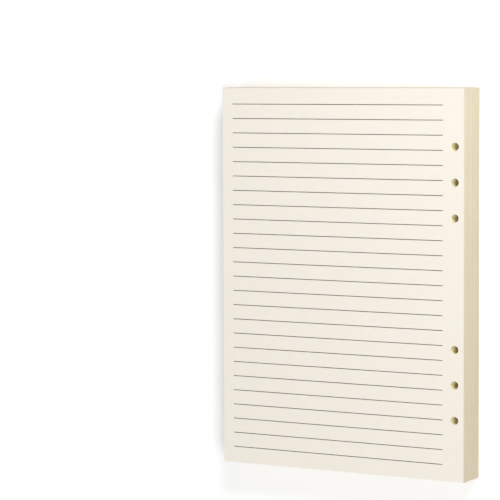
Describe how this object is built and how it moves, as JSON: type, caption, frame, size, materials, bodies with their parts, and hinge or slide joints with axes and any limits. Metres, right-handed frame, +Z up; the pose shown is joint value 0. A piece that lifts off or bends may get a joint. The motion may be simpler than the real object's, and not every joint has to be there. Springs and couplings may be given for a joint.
{
  "type": "ring binder refill paper block",
  "caption": "Flat block of loose cream sheets, ruled on both faces, with round ring holes punched through along one long edge.",
  "frame": {"origin": "middle of the underside of the block, which lies flat", "axes": "+Z up through the sheets, +Y to the head of the page, +X to the punched binding edge"},
  "size_m": [0.1483, 0.2103, 0.0197],
  "materials": {
    "paper": "matte",
    "ruling_ink": "matte"
  },
  "bodies": {
    "root": {"sheet_stack": "paper", "front_ruling": "ruling_ink", "back_ruling": "ruling_ink"}
  },
  "joints": []
}
